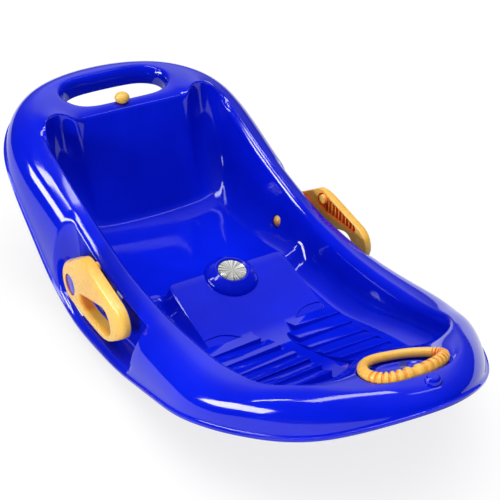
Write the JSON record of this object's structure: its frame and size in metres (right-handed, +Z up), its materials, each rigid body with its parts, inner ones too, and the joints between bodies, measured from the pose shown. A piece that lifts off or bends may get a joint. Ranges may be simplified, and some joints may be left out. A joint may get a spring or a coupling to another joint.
{
  "type": "sled",
  "caption": "Child's one-piece plastic bob sled with a seat tub, ribbed foot slopes, hinged hand brakes at the sides, a lift-off towing grip on the nose and a hand slot behind the backrest",
  "frame": {"origin": "on the ground, under the middle of the sled's length and width", "axes": "+Z up; -Y toward the nose and +Y toward the backrest; +X toward the rider's left"},
  "size_m": [0.381, 0.846, 0.2274],
  "materials": {
    "blue_plastic": "glossy moulded plastic, royal blue",
    "orange_plastic": "satin to glossy moulded plastic, orange",
    "silver_foil": "bright metallic foil disc, bare",
    "clear_plastic": "clear domed resin",
    "steel": "bright zinc-plated steel"
  },
  "bodies": {
    "shell": {"hull": "blue_plastic", "pivot_sleeve_right": "blue_plastic", "pivot_sleeve_left": "blue_plastic", "pivot_bolt_right": "orange_plastic", "pivot_bolt_left": "orange_plastic", "badge_disc": "silver_foil", "badge_lens": "clear_plastic", "hitch_knob": "orange_plastic"},
    "brake_right": {"brake_lever_right": "orange_plastic", "brake_claw_right": "steel", "claw_rivet_right_1": "steel", "claw_rivet_right_2": "steel"},
    "brake_left": {"brake_lever_left": "orange_plastic", "brake_claw_left": "steel", "claw_rivet_left_1": "steel", "claw_rivet_left_2": "steel"},
    "grip": {"tow_grip": "orange_plastic"}
  },
  "joints": [
    {"name": "brake_right_hinge", "type": "hinge", "parent": "shell", "child": "brake_right", "pos_m": [-0.17, 0.0885, 0.071], "axis": [-1, 0, 0], "range_deg": [0, 50]},
    {"name": "brake_left_hinge", "type": "hinge", "parent": "shell", "child": "brake_left", "pos_m": [0.17, 0.0885, 0.071], "axis": [-1, 0, 0], "range_deg": [0, 50]},
    {"name": "grip_lift", "type": "slide", "parent": "shell", "child": "grip", "axis": [0, 0, 1], "range_m": [0, 0.25]}
  ]
}
